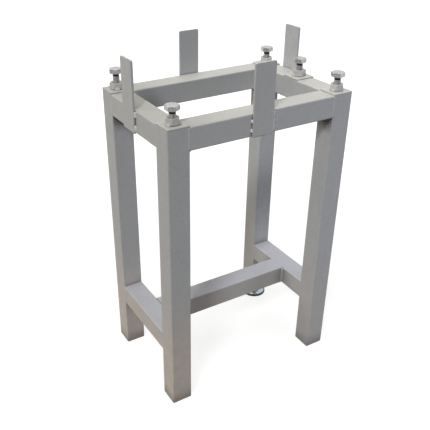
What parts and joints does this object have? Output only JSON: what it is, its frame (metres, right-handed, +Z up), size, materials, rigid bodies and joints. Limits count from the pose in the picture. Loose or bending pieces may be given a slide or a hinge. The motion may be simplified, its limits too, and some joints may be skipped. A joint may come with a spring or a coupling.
{
  "type": "surface plate stand",
  "caption": "Free-standing welded stand of square steel tube with hex-headed jacking screws, upright bar guides and one levelling foot, for a small surface plate.",
  "frame": {"origin": "on the floor, in the middle of the stand's outline seen from above, which runs from the left and front guides to the edge of the levelling foot", "axes": "+X runs to the right along the long side, +Y to the rear, +Z up; the levelling foot is under the rear right leg"},
  "size_m": [0.474, 0.324, 0.802],
  "materials": {
    "grey_paint": "light grey enamel, satin, lightly marked",
    "welds": "weld beads under the same grey enamel",
    "zinc": "bright zinc-plated fasteners",
    "bush_steel": "turned steel, unpainted",
    "polished_steel": "polished pressed pad",
    "rubber": "black moulded rubber"
  },
  "bodies": {
    "frame": {"leg_front_left": "grey_paint", "leg_front_right": "grey_paint", "leg_rear_left": "grey_paint", "leg_rear_right": "grey_paint", "top_rail_front": "grey_paint", "top_rail_rear": "grey_paint", "top_rail_left": "grey_paint", "top_rail_right": "grey_paint", "lower_rail_left": "grey_paint", "lower_rail_right": "grey_paint", "centre_stretcher": "grey_paint", "cap_plate_front_left": "grey_paint", "cap_plate_front_right": "grey_paint", "cap_plate_rear_left": "grey_paint", "cap_plate_rear_right": "grey_paint", "pad_plate_right_middle": "grey_paint", "base_plate_front_left": "grey_paint", "base_plate_front_right": "grey_paint", "base_plate_rear_left": "grey_paint", "end_plate_rear_right": "grey_paint", "foot_bush": "bush_steel", "guide_front": "grey_paint", "guide_rear": "grey_paint", "guide_left": "grey_paint", "guide_right": "grey_paint", "guide_welds": "welds", "top_rail_welds": "welds", "lower_rail_welds": "welds", "nut_welds": "welds", "jack_nut_front_left": "grey_paint", "jack_nut_front_right": "grey_paint", "jack_nut_rear_left": "grey_paint", "jack_nut_rear_right": "grey_paint", "jack_nut_right_middle": "grey_paint"},
    "screw_front_left": {"jack_screw_front_left": "zinc"},
    "screw_front_right": {"jack_screw_front_right": "zinc"},
    "screw_rear_left": {"jack_screw_rear_left": "zinc"},
    "screw_rear_right": {"jack_screw_rear_right": "zinc"},
    "screw_right_middle": {"jack_screw_right_middle": "zinc"},
    "stud": {"foot_stud": "zinc"},
    "stud_nut": {"foot_lock_nut": "zinc"},
    "foot": {"foot_pad": "polished_steel", "foot_sole": "rubber"}
  },
  "joints": [
    {"name": "raise_screw_front_left", "type": "slide", "parent": "frame", "child": "screw_front_left", "axis": [0, 0, 1], "range_m": [-0.0137, 0.02]},
    {"name": "raise_screw_front_right", "type": "slide", "parent": "frame", "child": "screw_front_right", "axis": [0, 0, 1], "range_m": [-0.0152, 0.02]},
    {"name": "raise_screw_rear_left", "type": "slide", "parent": "frame", "child": "screw_rear_left", "axis": [0, 0, 1], "range_m": [-0.0202, 0.02]},
    {"name": "raise_screw_rear_right", "type": "slide", "parent": "frame", "child": "screw_rear_right", "axis": [0, 0, 1], "range_m": [-0.0142, 0.02]},
    {"name": "raise_screw_right_middle", "type": "slide", "parent": "frame", "child": "screw_right_middle", "axis": [0, 0, 1], "range_m": [-0.0162, 0.02]},
    {"name": "raise_stud", "type": "slide", "parent": "frame", "child": "stud", "axis": [0, 0, 1], "range_m": [-0.012, 0.012]},
    {"name": "loosen_stud_nut", "type": "slide", "parent": "frame", "child": "stud_nut", "axis": [0, 0, -1], "range_m": [0, 0.004]},
    {"name": "tilt_foot", "type": "hinge", "parent": "stud", "child": "foot", "pos_m": [0.203, 0.128, 0.0165], "axis": [1, 0, 0], "range_deg": [-10, 10]}
  ]
}
